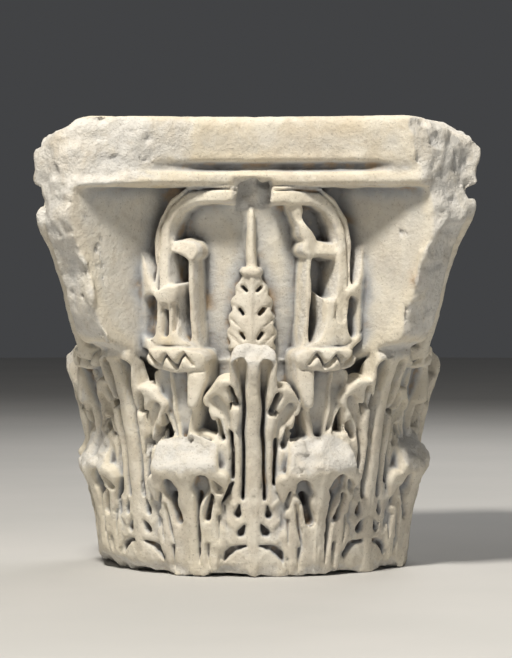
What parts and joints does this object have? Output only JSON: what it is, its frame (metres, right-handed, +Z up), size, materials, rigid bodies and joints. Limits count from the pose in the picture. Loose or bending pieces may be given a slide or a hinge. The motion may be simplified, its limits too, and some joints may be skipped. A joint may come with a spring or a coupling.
{
  "type": "corinthian capital",
  "caption": "Worn corinthian column capital of white marble: two rows of acanthus leaves, calyces and helices under a concave-sided abacus, with its corner volutes broken away.",
  "frame": {"origin": "centre of the bottom bed, on the column's axis", "axes": "+Z up the column's axis, -Y out of the better kept side, +X to that side's right as it is seen from in front"},
  "size_m": [0.4648, 0.46, 0.46],
  "materials": {
    "marble": "worn carved marble, cream with warm and grey-blue staining"
  },
  "bodies": {
    "root": {"capital": "marble"}
  },
  "joints": []
}
